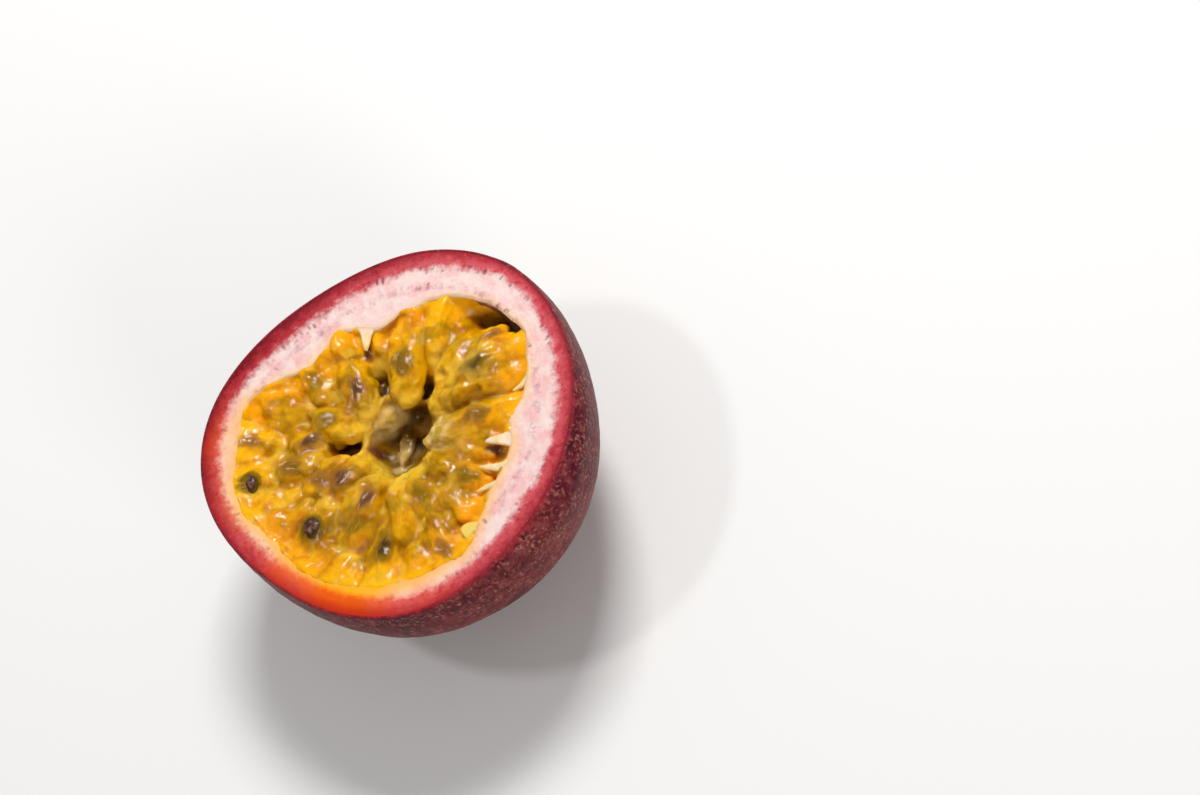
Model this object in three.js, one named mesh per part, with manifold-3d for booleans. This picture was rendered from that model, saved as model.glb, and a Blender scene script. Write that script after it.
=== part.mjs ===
// A passion fruit half, cut crosswise and resting on its round side with the cut face up.
// Millimetres and degrees. +Z is up out of the cut face, +X is the long way across it, and
// the origin is on the resting face, below the middle of the fruit.
import * as THREE from "three";
import { mergeVertices } from "three/addons/utils/BufferGeometryUtils.js";
import Module from "manifold-3d";

// ---- Driving dimensions ----------------------------------------------------------------

const HEIGHT = 30.2; // resting face to cut face
const FOOT_RADIUS = 4; // the flat spot that the half rests on
const FLOOR = 5; // rind below the cavity
const FULLNESS = 2.15; // power of the side profile: 2 is an ellipse, more is boxier
const BELLY = 0.04; // how far the side swells below the cut, as a share of its radius

// An outline round the fruit is a mean radius and waves: [count round, height, first crest].
// Three crests come from the fruit's three seams, and one wave sets the cavity off centre.
const RIM = { mean: 31, waves: [[2, 0.8, 0], [3, 1.04, 49], [4, 0.36, -24], [5, 0.11, -35]] };
const CAVITY = { mean: 23.3, waves: [[1, 2, 207], [2, 2.2, 28], [3, 1.75, 40]] };

// Pegs are the pale stalks that carry the arils: [angle, length, width at the wall].
const LONG_PEGS = [[98, 4.6, 2], [316, 4.4, 2.4], [326, 4.8, 2], [339, 5.6, 2.2]];
const SHORT_PEGS = { count: 11, first: 4, last: 300, length: 2.6, width: 1.7 };
const PEG_DEPTH = 0.5; // axis of a peg below the cut
const PEG_ROOT = 2.5; // how far a peg starts inside the wall

// The pulp is a core that fills the cavity, with arils lying on it.
const GAP = 0.3; // between the pulp and the rind
const CORE_DEPTH = { wall: 1.4, inside: 3.6 }; // top of the core below the cut
const HOLLOW = { radius: 5.2, depth: 12.5 }; // the empty middle between the tips of the arils

// The arils that show at the cut. Each is a sac with a seed, from its base at the wall to
// its tip: [base angle, base radius, tip angle, tip radius, width, depth of its axis].
const ARILS = [
  [80, 19.5, 68, 4.8, 5.9, 1.6],
  [93, 19, 98, 10, 5, 3.6],
  [108, 21, 126, 6.4, 6, 2.2],
  [122, 20, 135, 8.2, 5.4, 3.6],
  [132, 21.5, 141, 12, 5.4, 2.4],
  [146, 25, 152, 15, 6, 2.6],
  [150, 15.5, 158, 6.2, 5.8, 2.6],
  [163, 26, 166, 17, 5.4, 2.8],
  [168, 17.5, 164, 11.5, 5.4, 1.9],
  [179, 26.6, 181, 20.5, 5, 1.6],
  [181, 22, 180, 12.2, 6.2, 2.3],
  [190, 25.4, 191, 16.5, 5.4, 2.8],
  [200, 17, 191, 8.3, 5.4, 2.6],
  [201, 25, 204, 16, 5.6, 2.6],
  [213, 23, 211, 14.5, 5.8, 1.9],
  [212, 14, 208, 6, 5.4, 2.8],
  [225, 24.5, 228, 16.5, 5.6, 2.9],
  [226, 17.5, 226, 9.5, 5.2, 2.4],
  [240, 24.5, 239, 15, 5.8, 2.7],
  [243, 15, 236, 6.4, 5.6, 2.2],
  [254, 24.5, 256, 14.5, 5.6, 2.6],
  [266, 20, 262, 7.5, 6, 2.1],
  [270, 24.2, 270, 17, 5.2, 3],
  [281, 23, 278, 15, 5.6, 2.3],
  [290, 20, 279, 7, 5.8, 2.4],
  [304, 20.5, 296, 9.5, 5.8, 2.5],
  [318, 18.5, 305, 6.2, 5.8, 2.1],
  [332, 16.5, 319, 9, 4.6, 3.4],
  [346, 18.5, 338, 5.4, 5.8, 2.9],
  [358, 19.5, 352, 7.5, 6.2, 2.1],
  [10, 21, 25, 8, 6, 2.3],
  [21, 23, 40, 11, 6.4, 1.7],
  [35, 22.5, 46, 12, 5.8, 2.8],
  [48, 23, 50, 13, 5.6, 4],
  [62, 24, 56, 12.5, 6, 2.8],
  [74, 22.5, 73, 14, 5.4, 3.2],
];
const ARIL_FULLNESS = 2.4; // 2 has elliptical ends, more has blunter ones
const ARIL_SKEW = 1.15; // over 1 puts the widest place nearer the tip

// More arils line the hollow below those.
const LOWER_ARILS = { count: 10, base: 14, tip: 5.6, width: 5.6, depth: 7.6, droop: 1.2 };

const SIDES = { body: 72, cavity: 60, aril: 8, peg: 6 };
const ROWS = { body: 16, cavity: 12, aril: 6 };

// ---- Shapes ------------------------------------------------------------------------------

const rad = THREE.MathUtils.degToRad;

// Radius of an outline in the direction of an angle.
function radiusAt({ mean, waves }, angle) {
  return waves.reduce((r, [n, high, crest]) => r + high * Math.cos(n * rad(angle - crest)), mean);
}

function polar(radius, angle, z) {
  const [x, y] = [Math.cos(rad(angle)), Math.sin(rad(angle))];
  return new THREE.Vector3(radius * x, radius * y, z);
}

// The profile's share of its radius at a share of its depth.
function swell(share) {
  const ellipse = (1 - share ** FULLNESS) ** (1 / FULLNESS);
  return ellipse * (1 + BELLY * Math.sin(Math.PI * share));
}

// Depth of the whole profile whose side is footRadius wide at bottomDepth.
function profileDepth(bottomDepth, footRadius, radius) {
  return bottomDepth / (1 - (footRadius / radius) ** FULLNESS) ** (1 / FULLNESS);
}

// A round body from bottom z up to the cut, as a lathe profile of [radius, z] points.
function bowlProfile(radius, bottom, footRadius, rows) {
  const depth = profileDepth(HEIGHT - bottom, footRadius, radius);
  const points = [new THREE.Vector2(0, bottom)];
  for (let i = rows; i >= 0; i--) {
    const share = ((HEIGHT - bottom) / depth) * Math.sin((i / rows) * (Math.PI / 2));
    points.push(new THREE.Vector2(radius * swell(share), HEIGHT - depth * share));
  }
  return points;
}

// Turns a profile round +Z and stretches each direction to the outline.
function outlinedLathe(points, sides, outline) {
  const geometry = new THREE.LatheGeometry(points, sides).rotateX(Math.PI / 2);
  const position = geometry.getAttribute("position");
  for (let i = 0; i < position.count; i++) {
    const [x, y] = [position.getX(i), position.getY(i)];
    const angle = THREE.MathUtils.radToDeg(Math.atan2(y, x));
    const stretch = radiusAt(outline, angle) / outline.mean;
    position.setXY(i, x * stretch, y * stretch);
  }
  return geometry;
}

function bodyGeometry() {
  const points = bowlProfile(RIM.mean, 0, FOOT_RADIUS, ROWS.body);
  points.push(new THREE.Vector2(0, HEIGHT));
  return outlinedLathe(points, SIDES.body, RIM);
}

// The room inside the rind, smaller all round by the clearance and open above the cut.
function cavityGeometry(clearance) {
  const outline = { mean: CAVITY.mean - clearance, waves: CAVITY.waves };
  const points = bowlProfile(outline.mean, FLOOR + clearance, FOOT_RADIUS, ROWS.cavity);
  const aboveCut = HEIGHT + FLOOR;
  points.push(new THREE.Vector2(outline.mean, aboveCut), new THREE.Vector2(0, aboveCut));
  return outlinedLathe(points, SIDES.cavity, outline);
}

// The core: the cavity's lower part with the hollow sunk in its top.
function coreGeometry() {
  const outline = { mean: CAVITY.mean - GAP, waves: CAVITY.waves };
  const [edge, top] = [HEIGHT - CORE_DEPTH.wall, HEIGHT - CORE_DEPTH.inside];
  const side = bowlProfile(outline.mean, FLOOR + GAP, FOOT_RADIUS, ROWS.cavity);
  const points = side.filter((point) => point.y < edge);
  points.push(
    new THREE.Vector2(outline.mean, edge),
    new THREE.Vector2(HOLLOW.radius + 3, top),
    new THREE.Vector2(HOLLOW.radius, top - 2),
    new THREE.Vector2(HOLLOW.radius - 1, HEIGHT - HOLLOW.depth + 2),
    new THREE.Vector2(0, HEIGHT - HOLLOW.depth),
  );
  return outlinedLathe(points, SIDES.cavity / 2, outline);
}

// A plump drop, widest a little towards its tip, laid from one point to another.
function dropGeometry(base, tip, width) {
  const length = base.distanceTo(tip);
  const points = [];
  for (let i = 0; i <= ROWS.aril; i++) {
    const share = (1 - Math.cos((i / ROWS.aril) * Math.PI)) / 2;
    const fromWidest = Math.abs(2 * share ** ARIL_SKEW - 1);
    const radius = (width / 2) * (1 - fromWidest ** ARIL_FULLNESS) ** (1 / 2);
    points.push(new THREE.Vector2(radius, length * share));
  }
  return aim(new THREE.LatheGeometry(points, SIDES.aril), base, tip);
}

function pegGeometry(root, tip, width) {
  const length = root.distanceTo(tip);
  const cone = new THREE.CylinderGeometry(width / 8, width / 2, length, SIDES.peg);
  return aim(cone.translate(0, length / 2, 0), root, tip);
}

// Moves a shape that stands on +Y so that it runs from one point towards another.
function aim(geometry, from, to) {
  const direction = to.clone().sub(from).normalize();
  const turn = new THREE.Quaternion().setFromUnitVectors(new THREE.Vector3(0, 1, 0), direction);
  return geometry.applyQuaternion(turn).translate(from.x, from.y, from.z);
}

function pegGeometries(clearance) {
  const { count, first, last, length, width } = SHORT_PEGS;
  const short = Array.from({ length: count }, (_, i) => {
    return [first + ((last - first) * i) / (count - 1), length, width];
  });
  return [...LONG_PEGS, ...short].map(([angle, long, wide]) => {
    const wall = radiusAt(CAVITY, angle);
    const root = polar(wall + PEG_ROOT, angle, HEIGHT - PEG_DEPTH);
    const tip = polar(wall - long - clearance, angle, HEIGHT - PEG_DEPTH);
    return pegGeometry(root, tip, wide + 2 * clearance);
  });
}

function arilGeometries() {
  const top = ARILS.map(([baseAngle, baseRadius, tipAngle, tipRadius, width, depth]) => {
    const z = HEIGHT - depth;
    return dropGeometry(polar(baseRadius, baseAngle, z), polar(tipRadius, tipAngle, z), width);
  });
  const { count, base, tip, width, depth, droop } = LOWER_ARILS;
  for (let i = 0; i < count; i++) {
    const angle = (360 / count) * i;
    const z = HEIGHT - depth;
    top.push(dropGeometry(polar(base, angle, z), polar(tip, angle, z - droop), width));
  }
  return top;
}

// ---- Solids ------------------------------------------------------------------------------

const wasm = await Module();
wasm.setup();

function solid(geometry) {
  const bare = geometry.index ? geometry.clone() : geometry;
  bare.deleteAttribute("normal");
  bare.deleteAttribute("uv");
  const merged = mergeVertices(bare, 1e-4);
  const corners = merged.index.array;
  const triangles = [];
  for (let i = 0; i < corners.length; i += 3) {
    const [a, b, c] = corners.slice(i, i + 3);
    if (a !== b && b !== c && c !== a) triangles.push(a, b, c);
  }
  return new wasm.Manifold(
    new wasm.Mesh({
      numProp: 3,
      vertProperties: new Float32Array(merged.attributes.position.array),
      triVerts: new Uint32Array(triangles),
    }),
  );
}

function joined(geometries) {
  return geometries.map(solid).reduce((all, one) => all.add(one));
}

function meshOf(name, made, material) {
  const { vertProperties, triVerts } = made.getMesh();
  const geometry = new THREE.BufferGeometry();
  geometry.setAttribute("position", new THREE.BufferAttribute(vertProperties, 3));
  geometry.setIndex(new THREE.BufferAttribute(triVerts, 1));
  geometry.computeVertexNormals();
  const mesh = new THREE.Mesh(geometry, material);
  mesh.name = name;
  return mesh;
}

// The whole fruit below the cut, for trimming what stands above it.
const body = solid(bodyGeometry());

function makeRind() {
  const bowl = body.subtract(solid(cavityGeometry(0)));
  return bowl.add(joined(pegGeometries(0)).intersect(body));
}

function makePulp() {
  const heap = joined([coreGeometry(), ...arilGeometries()]);
  return heap.intersect(solid(cavityGeometry(GAP))).subtract(joined(pegGeometries(GAP)));
}

// ---- The part ----------------------------------------------------------------------------

const rindMaterial = new THREE.MeshStandardMaterial({ color: 0x6e323c, roughness: 0.5 });
const pulpMaterial = new THREE.MeshStandardMaterial({ color: 0xe1a50a, roughness: 0.25 });

const fruit = new THREE.Group();
fruit.add(meshOf("rind", makeRind(), rindMaterial));
fruit.add(meshOf("pulp", makePulp(), pulpMaterial));

// The waves leave the outline a little off centre, so the whole is moved back over the origin.
const middle = new THREE.Box3().setFromObject(fruit).getCenter(new THREE.Vector3());
fruit.position.set(-middle.x, -middle.y, 0);

export default fruit;
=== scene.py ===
import math
import random

import bpy
import numpy as np
from mathutils import Matrix, Vector, noise


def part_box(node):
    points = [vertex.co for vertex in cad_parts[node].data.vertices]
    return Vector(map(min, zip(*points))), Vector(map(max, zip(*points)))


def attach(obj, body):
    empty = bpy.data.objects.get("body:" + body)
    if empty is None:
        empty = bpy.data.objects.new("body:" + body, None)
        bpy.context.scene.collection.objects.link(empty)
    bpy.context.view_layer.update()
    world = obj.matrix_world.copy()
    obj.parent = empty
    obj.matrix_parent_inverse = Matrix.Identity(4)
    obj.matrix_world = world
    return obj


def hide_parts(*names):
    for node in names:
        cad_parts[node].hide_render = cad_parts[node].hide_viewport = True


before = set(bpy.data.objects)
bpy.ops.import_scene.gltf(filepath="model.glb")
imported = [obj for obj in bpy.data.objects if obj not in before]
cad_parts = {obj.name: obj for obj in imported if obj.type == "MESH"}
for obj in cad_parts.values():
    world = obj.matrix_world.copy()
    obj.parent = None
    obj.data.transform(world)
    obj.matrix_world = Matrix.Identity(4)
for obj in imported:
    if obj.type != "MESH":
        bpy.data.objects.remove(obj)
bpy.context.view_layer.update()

MM = 0.001
CUT_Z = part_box("rind")[1][2]  # height of the cut face

# ---- The photograph's view ----

FRAME_PIXELS = (1200, 795)
FOCAL_PIXELS = 2857
AIM_PIXEL = (396, 436)  # where the aim point shows
AIM_OFFSET = (0.48 * MM, -0.89 * MM)  # the aim point on the cut, from the rim's own centre
AZIMUTH, ELEVATION, ROLL = 34.5, 58, 47.2
DISTANCE = 0.444  # from camera to aim point
SENSOR_MM = 36

# Softboxes: direction from the aim point (right, up and back in the camera's view), distance,
# width and height, and watts.
SOFTBOXES = {
    "key": ((-0.15, 0.85, 0.5), 0.7, (0.24, 0.16), 4),
    "side": ((-0.75, 0.25, 0.6), 0.7, (0.07, 0.05), 0.7),
    "front": ((0.45, -0.45, 0.8), 0.8, (0.3, 0.3), 2),
}
SKY_STRENGTH = 0.24
STAGE_RINGS = ((0.5, 0), (3, 0), (3, -0.01))  # radius and height, of the pale floor

# ---- Driving dimensions of the rind ----

# An outline round the fruit is a mean radius and waves: (count round, height, first crest).
RIM = (
    31 * MM,
    [(2, 0.8 * MM, 0), (3, 1.04 * MM, 49), (4, 0.36 * MM, -24), (5, 0.11 * MM, -35)],
)
CAVITY = (23.3 * MM, [(1, 2 * MM, 207), (2, 2.2 * MM, 28), (3, 1.75 * MM, 40)])
FOOT_RADIUS = 4 * MM  # of the small flat that the fruit rests on
FLOOR = 5 * MM  # height of the lowest point of the cavity
FULLNESS = 2.15  # 2 makes the side profile an ellipse, and more makes it squarer
BELLY = 0.04  # how far it stands out of that profile half way down, as a share of the radius

SKIN_THICK = 0.36 * MM
# Steps of the skin's edge at the cut: shares of SKIN_THICK inward, and millimetres down.
SKIN_EDGE = ((0.3, 0.03), (0.65, 0), (1, 0))
SEAM = 0.02 * MM  # how far the flesh reaches into the skin, and lies below its edge
# Scallops of the cavity's lip: angle and half width in degrees, and millimetres inward.
SCALLOPS = [
    (24, 7, -0.9), (73, 4, 1.2), (88, 9, 1.2), (107, 7, -1.6), (129, 11, 2), (151, 8, -1.5),
    (169, 6, 0.8), (208, 12, 1.1), (291, 8, -1.2), (313, 6, 0.7), (349, 9, 1.3),
]
# How far the skin rolls in over the edge of the cut, the least of that, and from how far down.
ROLL_IN = (
    0.42 * MM,
    [(1, 0.68 * MM, 318), (2, 0.55 * MM, 318), (3, 0.4 * MM, 318), (4, 0.28 * MM, 318)],
)
ROLL_LEAST = 0.1 * MM
ROLL_DROP = 2.8 * MM
ROLL_CURVE = 2.2  # above 1 it gathers near the cut
# Width of the red layer.
RED = (
    2.72 * MM,
    [(1, 0.39 * MM, 190), (2, 0.16 * MM, 106), (3, 0.25 * MM, 107), (6, 0.22 * MM, 4)],
)
RIPE = (0.55, [(1, 0.2, 130), (2, 0.2, 140)])  # how dark the red layer is, 0 to 1
SEEP = (0.4, [(1, 0.42, 248)])  # how far juice has tinted the pith by the pulp, 0 to 1
# Where juice has run over the rim: middle angle, half width of the run, and strength.
STAINS = [(245, 17, 1), (221, 11, 0.45), (190, 24, 0.25), (275, 13, 0.32), (164, 12, 0.34)]

# Relief: size of its features and height in millimetres, octaves and seed of the noise.
SKIN_WAVES = (11, 0.22, 2, 1)
SKIN_DIMPLES = (1.8, 0.07, 3, 5)
RAGGED_EDGE = (4, 0.4, 4, 3)  # of the cavity's lip, seen from above
PITH_WAVES = (7, 0.12, 2, 4)
PITH_SPONGE = (1.3, 0.09, 3, 9)
WALL_BUMPS = (2.4, 0.3, 3, 7)
PITH_SUNK = 0.16 * MM  # how far the pith lies below the red layer
LIP_ROUND = (0.35 * MM, 0.7 * MM)  # how far the lip rounds off, and over what width

# Pegs that carry arils: angle at the wall, tip angle, tip radius, width and depth of the axis
# in degrees and millimetres, and how yellow.
PEGS = [
    (341, 337, 15.4, 2.2, 0.6, 0.1),
    (328, 322, 15.9, 1.5, 0.7, 0.3),
    (318, 311, 17.6, 1.3, 0.8, 0.4),
    (6, 4, 19.9, 1.3, 0.8, 0.3),
    (96, 99, 15.6, 2.2, 0.4, 0.2),
    (125, 126, 18.8, 1.5, 0.7, 0.2),
    (298, 294, 20.7, 3.6, 0.3, 1),
]
PEG_ROOT = 0.8  # how far a peg starts behind the wall, in millimetres
PEG_DROOP = 0.4  # how much lower its tip lies, in millimetres
PEG_FLATNESS = 0.6  # its height as a share of its width
PEG_BEND = 0.25 * MM
PEG_LUMPS = (1.3, 0.16, 2)  # relief with the angle as its seed
PEG_SUNK = 0.28 * MM  # the least that it lies below the cut

# ---- Driving dimensions of the pulp ----

# Arils at the cut: base angle, base radius, tip angle, tip radius, width and depth of the axis
# in degrees and millimetres, how the seed shows, and the seed's place from base to tip. A base
# radius past the wall means that the aril grows out of the wall.
ARILS = [
    (76, 21, 64, 4.8, 6.2, 1.9, "grey", 0.58),
    (91, 26, 94, 13, 5, 3.6, "clear", 0.5),
    (109, 27, 110, 15.5, 6, 2.4, "clear", 0.5),
    (113, 18.5, 128, 6.2, 6, 2.4, "violet", 0.66),
    (124, 25, 136, 8.2, 5.6, 3.4, "clear", 0.5),
    (132, 26, 141, 12, 5.6, 2.7, "hazy", 0.6),
    (146, 29, 152, 15, 6.2, 2.9, "clear", 0.5),
    (149, 16.5, 152, 6.6, 6, 2.6, "hazy", 0.45),
    (166, 31, 167, 18, 5.6, 3, "pink", 0.5),
    (168, 18.5, 164, 12, 5.4, 2.5, "violet", 0.7),
    (181, 30, 181.5, 20, 5.6, 3, "hazy", 0.48),
    (181, 22.5, 180, 12.2, 6.4, 2.6, "brown", 0.5),
    (192, 30, 192, 16.5, 5.8, 3, "clear", 0.5),
    (200, 17.5, 191, 8.3, 5.6, 2.8, "pink", 0.45),
    (203, 30, 205, 16, 5.8, 2.9, "clear", 0.5),
    (218, 24.5, 213.5, 14, 6.2, 2.9, "hazy", 0.48),
    (212, 14.5, 208, 6, 5.6, 2.7, "violet", 0.46),
    (227, 29, 228, 18.5, 5.8, 3, "clear", 0.6),
    (228, 17, 226, 9.5, 5.4, 2.7, "clear", 0.5),
    (240, 29, 240, 19, 5.8, 2.9, "clear", 0.5),
    (237, 21, 238, 11.5, 5.4, 2.6, "hazy", 0.6),
    (243, 15.5, 236, 6.4, 5.8, 2.5, "violet", 0.5),
    (257.5, 29, 259.5, 13.5, 5.8, 2.8, "dark", 0.68),
    (266, 20, 262, 7.5, 6.2, 2.6, "clear", 0.6),
    (272, 29, 272, 17, 5.4, 3.1, "clear", 0.5),
    (285, 28, 281, 15, 5.8, 2.7, "pink", 0.46),
    (290, 23, 279, 7, 6, 2.7, "hazy", 0.7),
    (304, 22, 296, 9.5, 6, 2.7, "clear", 0.5),
    (318, 18.8, 305, 6.2, 6, 2.4, "hazy", 0.3),
    (332, 17, 319, 9, 4.8, 3.3, "clear", 0.5),
    (346, 19.3, 338, 4.6, 6, 2.9, "pale", 0.5),
    (358, 24.5, 352, 7.5, 6.4, 2.5, "brown", 0.62),
    (10, 26.5, 25, 8, 6.2, 2.6, "clear", 0.5),
    (20, 28, 34, 11, 6.6, 2.4, "dark", 0.66),
    (32, 24.2, 46, 12, 6, 2.6, "pink", 0.22),
    (48, 21, 50, 13, 5.8, 4.4, "clear", 0.5),
    (62, 28, 56, 12.5, 6.2, 2.9, "clear", 0.6),
    (74, 27, 73, 14, 5.6, 3.1, "clear", 0.5),
    (124, 9.2, 90, 3.8, 3.9, 5, "pale", 0.5),
    (80, 4, 240, 3.2, 2.2, 7, "pale", 0.5),
    (170, 7.5, 235, 2.6, 3.6, 7.6, "violet", 0.45),
    (60, 8, 20, 2.6, 3.4, 7.2, "hazy", 0.5),
    (318, 8.5, 290, 2, 3.6, 7.8, "clear", 0.5),
    (160, 9.5, 152, 3.5, 4.6, 8, "violet", 0.5),
]
ARIL_FULLNESS = 2.4  # 2 makes a sac an ellipse from the side, and more makes it fuller
ARIL_SKEW = 1.15  # above 1 a sac is widest nearer its tip
ARIL_DROOP = 0.3  # how much lower its base lies, in millimetres
WOBBLE = 0.4 * MM  # how far a sac's surface wanders from a plain drop
# How a seed shows through its sac: how dark, how violet rather than olive, how sharp, and how
# large compared with SEED.
SEED_LOOKS = {
    "clear": (0.15, 0, 0, 1),
    "pale": (0.1, 0, 0, 1),
    "hazy": (0.5, 0, 0, 1),
    "grey": (0.6, 0.3, 0.7, 1.4),
    "brown": (0.6, 0.6, 0.2, 1.1),
    "dark": (1, 0.1, 0.1, 1),
    "violet": (0.85, 1, 0.4, 1),
    "pink": (0.6, 1, 0.35, 1),
}
SEED = (2.2 * MM, 1.6 * MM)  # half length and half width
# Seeds that lie bare in an opened sac: angle, radius, half length, half width, and the turn of
# the long axis from the line out of the middle, in degrees and millimetres.
BARE_SEEDS = [(182, 24.9, 1.75, 1.25, 100), (217, 19.4, 2, 1.65, 25)]
SEED_THICK = 0.95 * MM  # half thickness
BARE_SHOWS = 0.4 * MM  # how far a bare one stands out of the pulp
BARE_HALO = 0.62  # how dark the pulp round it is, 0 to 1

# Rings of arils below those: count, first angle, base radius, tip radius, width, base depth and
# tip depth, in degrees and millimetres. The last one lines the hollow.
LOWER_RINGS = [
    (22, 8, 22, 12, 5.6, 5.4, 5.2),
    (12, 20, 14.5, 6, 5.8, 7, 8.2),
    (7, 12, 9, 3, 4.8, 10.5, 9.4),
]

# Juice and loose pulp between the arils: how far below the cut it stands where it is high and
# where it is low, the side where it is high, and the least depth anywhere.
JUICE = {"high": 1.5 * MM, "low": 2.4 * MM, "high_side": 225, "top": 0.2 * MM}
JUICE_LUMPS = (3.2, 0.8, 2, 12)
MENISCUS = {"height": 1.7 * MM, "reach": 1.3 * MM}  # how far the juice climbs the wall
# Dips in it: angle, radius, width and how much deeper, in degrees and millimetres.
JUICE_DIPS = [
    (36, 24.6, 3, 8), (46, 23.4, 1.9, 2.5), (0, 20, 1.4, 2), (320, 18.5, 1.2, 2),
    (333, 17.5, 1.4, 2.5), (344, 15, 1.2, 2), (102, 10.5, 1.8, 6), (56, 9, 1.4, 5),
    (50, 5, 1.9, 4), (168, 9.4, 2.4, 7), (255, 4.6, 1.6, 5), (200, 1.2, 2.2, 5),
]
# The hollow in the middle: radius of its floor, radius of its brim, and depth.
HOLLOW = {"floor": 1.68 * MM, "brim": 7.2 * MM, "depth": 8 * MM}

# The wet top is a surface taken from a grid. Its corners are millimetres from the rim's own
# centre at the cut.
PULP_GRID = ((-28.5, -26, -15.5), (26.5, 26, 1.8))
PULP_PITCH = 0.295 * MM  # spacing of the grid
PULP_BLEND = 0.27 * MM  # how softly one sac runs into the next
PULP_OVERLAP = 0.6 * MM  # how far the pulp reaches into the wall of the rind
FIELD_LIMIT = 8 * MM  # distances past this all count as this
PULP_LUMPS = (2.6, 0.26, 2, 3)
SAC_FOLDS = (1.3, 0.26, 2, 8)  # fine folds, which run along a sac
CREASE = 0.7 * MM  # width of the crease between two sacs
LOOK_BLEND = 0.3 * MM  # how softly the look of one sac runs into the next
# The core below the wet top: depth of its top, reach into the wall, and height above FLOOR.
CORE = {"top": 14.5 * MM, "reach": 0.2 * MM, "lift": 0.3 * MM}

# ---- Mesh resolution ----

RIND_COLUMNS = 480
SKIN_ROWS, SKIN_INNER_ROWS = 84, 16
FLESH_OUTSIDE_ROWS, FLESH_FACE_ROWS, FLESH_WALL_ROWS = 14, 52, 34
PEG_COLUMNS, PEG_ROWS = 20, 17
CORE_COLUMNS, CORE_ROWS = 120, 14
SEED_COLUMNS, SEED_ROWS = 36, 26

# ---- Mesh helpers ----


def full_turn(columns):
    """Angles once round, in radians."""
    return np.linspace(0, 2 * np.pi, columns, endpoint=False)


def radius_at(outline, angle):
    """Radius of an outline at an angle, or an array of angles, in radians."""
    mean, waves = outline
    return mean + sum(high * np.cos(n * (angle - math.radians(crest))) for n, high, crest in waves)


def swell(share):
    """The side profile's share of its radius at a share of its depth."""
    ellipse = np.maximum(1 - share**FULLNESS, 0) ** (1 / FULLNESS)
    return ellipse * (1 + BELLY * np.sin(np.pi * share))


def profile_depth(height, foot_radius, radius):
    """Depth of the whole profile, of which the part down to foot_radius is that height."""
    return height / (1 - (foot_radius / radius) ** FULLNESS) ** (1 / FULLNESS)


def outline_middle():
    """How far the widest outline lies off the rim's own centre."""
    share = np.linspace(0, 1, 400)
    angle = full_turn(720)
    reach = radius_at(RIM, angle) * swell(share).max()
    x, y = reach * np.cos(angle), reach * np.sin(angle)
    return np.array([(x.max() + x.min()) / 2, (y.max() + y.min()) / 2, 0])


MIDDLE = outline_middle()
AIM_POINT = Vector((*AIM_OFFSET, CUT_Z)) - Vector(MIDDLE)
RIND_DEPTH = profile_depth(CUT_Z, FOOT_RADIUS, RIM[0])
CAVITY_DEPTH = profile_depth(CUT_Z - FLOOR, FOOT_RADIUS, CAVITY[0])


def fbm(points, size, octaves, seed):
    """Smooth noise from about -1 to 1 at each point, with features of about that size."""
    shift = Vector((seed, 2.3 * seed, -1.7 * seed))
    flat = points.reshape(-1, 3)
    values = [noise.fractal(Vector(p) / size + shift, 1.0, 2.0, octaves) for p in flat]
    return np.array(values).reshape(points.shape[:-1])


def relief(points, kind):
    """Heights at the points, of a kind of relief named above."""
    size, height, octaves, seed = kind
    return fbm(points, size * MM, octaves, seed) * (height * MM)


def smoothstep(low, high, value):
    """0 up to low, 1 from high on, and smooth between them."""
    t = np.clip((value - low) / (high - low), 0, 1)
    return t * t * (3 - 2 * t)


def hump(angle, middle, half):
    """1 at middle, fading to 0 over about half to each side, both in degrees."""
    away = (np.degrees(angle) - middle + 180) % 360 - 180
    return np.exp(-((away / half) ** 2))


def cavity_radius(angle, share):
    """Radius of the cavity at a share of its depth. Its scallops fade below the lip."""
    inward = sum(mm * MM * hump(angle, middle, half) for middle, half, mm in SCALLOPS)
    return radius_at(CAVITY, angle) * swell(share) - inward * (1 - share) ** 2


def roll_in(angle):
    """How far the edge of the cut lies inside the rim's outline."""
    return np.maximum(radius_at(ROLL_IN, angle), ROLL_LEAST)


def stain_at(angle):
    """How strongly juice has stained the rim, 0 to 1."""
    dry = 1 + 0 * angle
    for middle, half, strength in STAINS:
        dry *= 1 - strength * hump(angle, middle, half)
    return 1 - dry


def link(name, data):
    made = bpy.data.objects.new(name, data)
    bpy.context.scene.collection.objects.link(made)
    return made


def add_piece(name, mesh, values):
    """An object of a mesh, shaded smooth, with named values at its points."""
    for key, value in values.items():
        layer = mesh.attributes.new(key, "FLOAT", "POINT")
        layer.data.foreach_set("value", value.astype(np.float32))
    mesh.shade_smooth()
    mesh.update()
    return link(name, mesh)


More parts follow.
